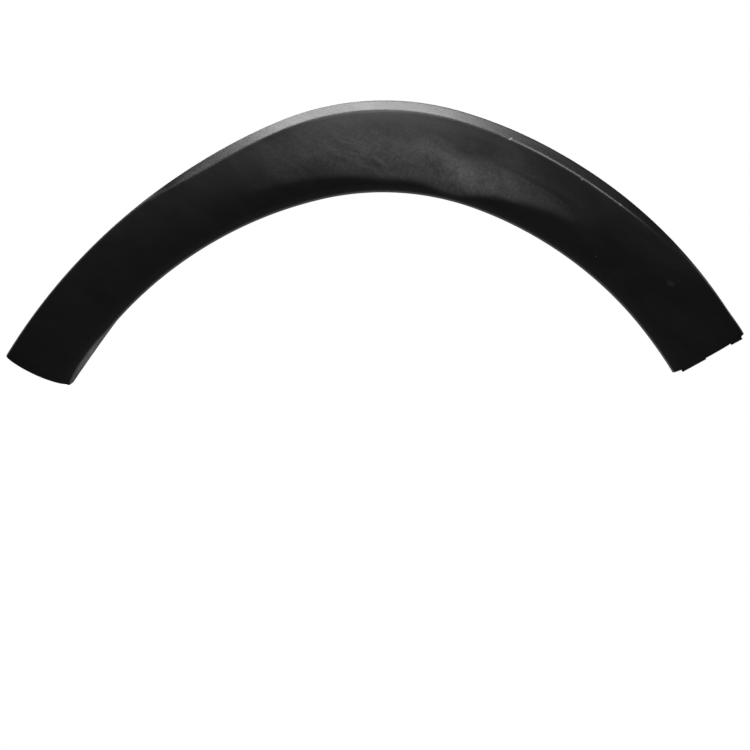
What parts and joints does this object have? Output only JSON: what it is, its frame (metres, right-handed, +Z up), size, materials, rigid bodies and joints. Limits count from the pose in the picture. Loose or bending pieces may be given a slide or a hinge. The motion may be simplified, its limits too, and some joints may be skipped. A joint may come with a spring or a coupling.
{
  "type": "wheel arch trim",
  "caption": "Ribbed plastic moulding that borders a car's wheel opening, held on the body panel by push-in clips and foam tape.",
  "frame": {"origin": "axis of the crown clip, at the plane where the body panel's outer face lies there", "axes": "+X to the right as the show face is looked at, +Y into the body panel, +Z up"},
  "size_m": [0.8985, 0.0455, 0.3457],
  "materials": {
    "black_plastic": "fine grain",
    "natural_nylon": "satin",
    "light_foam": "matte foam",
    "dark_foam": "matte foam"
  },
  "bodies": {
    "root": {"trim_moulding": "black_plastic", "clip_1": "natural_nylon", "clip_2": "natural_nylon", "clip_3": "natural_nylon", "clip_4": "natural_nylon", "clip_5": "natural_nylon", "clip_6": "natural_nylon", "clip_7": "natural_nylon", "clip_8": "natural_nylon", "light_tape": "light_foam", "dark_tape_1": "dark_foam", "dark_tape_2": "dark_foam", "dark_tape_3": "dark_foam", "dark_tape_4": "dark_foam", "dark_tape_5": "dark_foam", "dark_tape_6": "dark_foam"}
  },
  "joints": []
}
